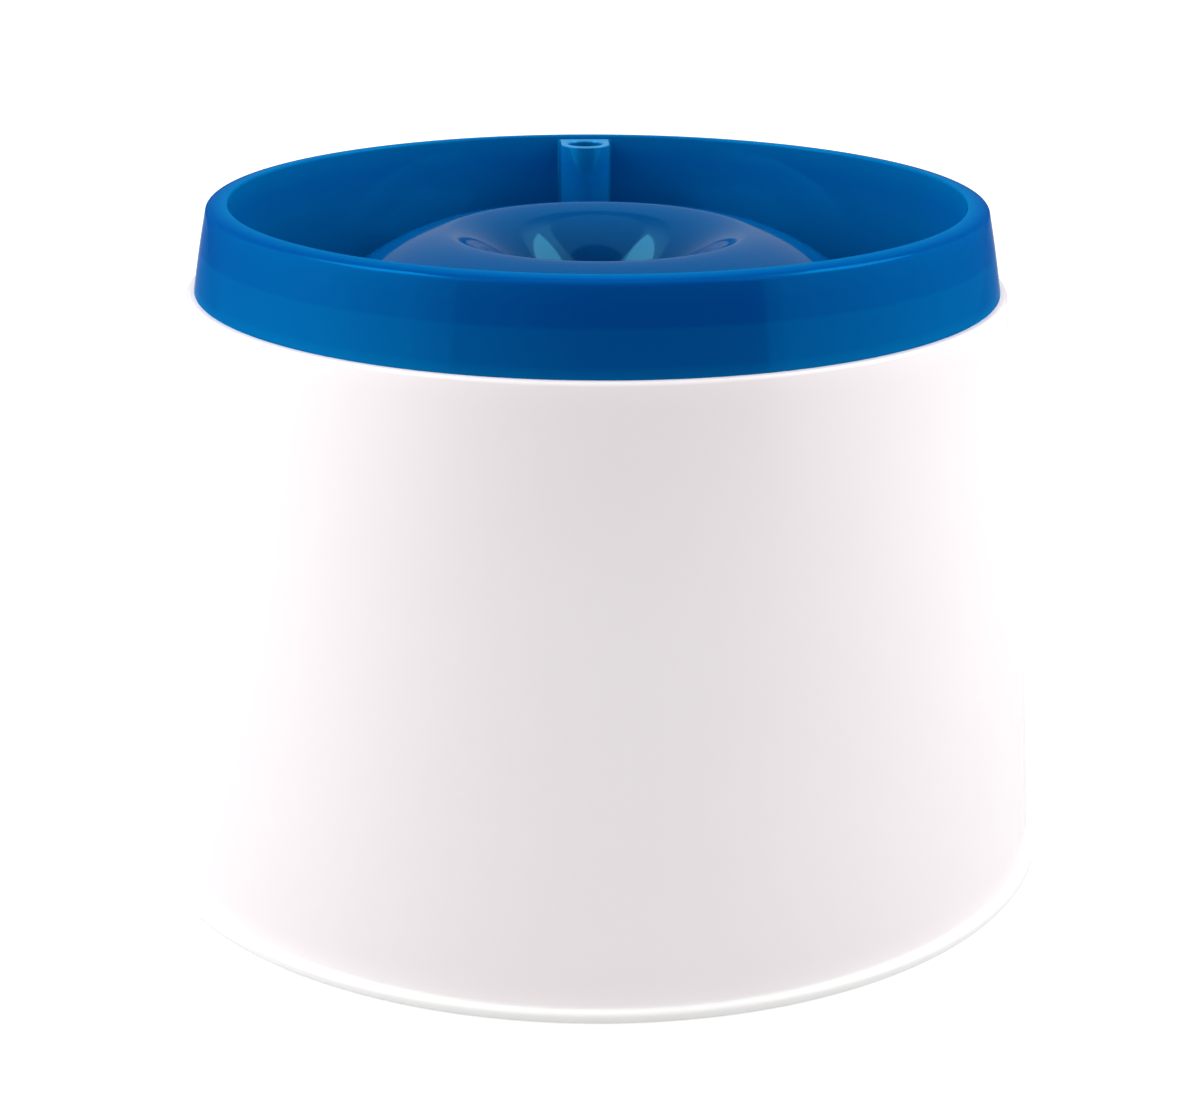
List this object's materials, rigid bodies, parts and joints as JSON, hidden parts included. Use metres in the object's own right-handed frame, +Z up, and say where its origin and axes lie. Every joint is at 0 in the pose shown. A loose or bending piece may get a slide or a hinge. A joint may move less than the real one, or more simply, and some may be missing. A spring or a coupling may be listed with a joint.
{
  "type": "pet water fountain",
  "caption": "Raised pet drinking fountain: flared round stand, lift-off bowl with a cord standpipe, ring-shaped dome with a funnel, ring filter and submersible pump.",
  "frame": {"origin": "on the floor, under the middle of the round stand", "axes": "+Z up along the stand's axis; +Y to the back, where the standpipe and the cord notch are; -Y is the side that faces the user"},
  "size_m": [0.27, 0.2698, 0.1935],
  "materials": {
    "white_shell": "moulded glossy white polypropylene",
    "blue_bowl": "moulded glossy translucent blue polypropylene",
    "blue_dome": "moulded satin blue polypropylene",
    "foot_rubber": "moulded translucent grey rubber",
    "filter_white": "moulded white polypropylene",
    "filter_foam": "open-cell white foam",
    "carbon": "pressed carbon granules",
    "pump_black": "moulded black ABS",
    "pump_grey": "moulded grey ABS",
    "epoxy": "cast epoxy potting",
    "lamination": "stacked silicon-steel laminations",
    "copper": "enamelled copper winding wire",
    "nylon": "moulded natural nylon",
    "ferrite": "sintered ferrite",
    "shaft_steel": "ground stainless steel",
    "black_rubber": "moulded black rubber",
    "clear_silicone": "moulded silicone"
  },
  "bodies": {
    "stand": {"stand_shell": "white_shell", "foot_pads": "foot_rubber"},
    "bowl": {"bowl": "blue_bowl"},
    "dome": {"dome": "blue_dome"},
    "filter": {"filter_cage": "filter_white", "filter_lid": "filter_white", "filter_foam": "filter_foam", "filter_carbon": "carbon"},
    "pump": {"pump_housing": "pump_black", "motor_potting": "epoxy", "stator_core": "lamination", "coil_bobbin": "nylon", "stator_coil": "copper", "rotor_shaft": "shaft_steel", "front_bush": "black_rubber", "rear_bush": "black_rubber", "thrust_washers": "nylon", "volute": "pump_black", "volute_seal": "black_rubber", "intake_cover": "pump_black", "riser_nozzle": "clear_silicone", "cord_gland": "black_rubber", "suction_cups": "clear_silicone"},
    "rotor": {"rotor_magnet": "ferrite", "impeller": "pump_grey"},
    "flow_dial": {"flow_dial": "pump_grey"}
  },
  "joints": [
    {"name": "bowl_lift", "type": "slide", "parent": "stand", "child": "bowl", "axis": [0, 0, 1], "range_m": [0, 0.12]},
    {"name": "dome_lift", "type": "slide", "parent": "bowl", "child": "dome", "axis": [0, 0, 1], "range_m": [0, 0.2]},
    {"name": "filter_lift", "type": "slide", "parent": "bowl", "child": "filter", "axis": [0, 0, 1], "range_m": [0, 0.12]},
    {"name": "pump_lift", "type": "slide", "parent": "bowl", "child": "pump", "axis": [0, 0, 1], "range_m": [0, 0.06]},
    {"name": "rotor_spin", "type": "hinge", "parent": "pump", "child": "rotor", "pos_m": [0, 0, 0.13], "axis": [0, 1, 0], "continuous": true},
    {"name": "flow_adjust", "type": "hinge", "parent": "pump", "child": "flow_dial", "pos_m": [0, -0.018, 0.133], "axis": [0, 1, 0], "range_deg": [0, 90]}
  ],
  "couplings": [
    {"joint": "filter_lift", "follows": "dome_lift", "ratio": 0.6},
    {"joint": "pump_lift", "follows": "dome_lift", "ratio": 0.3}
  ]
}
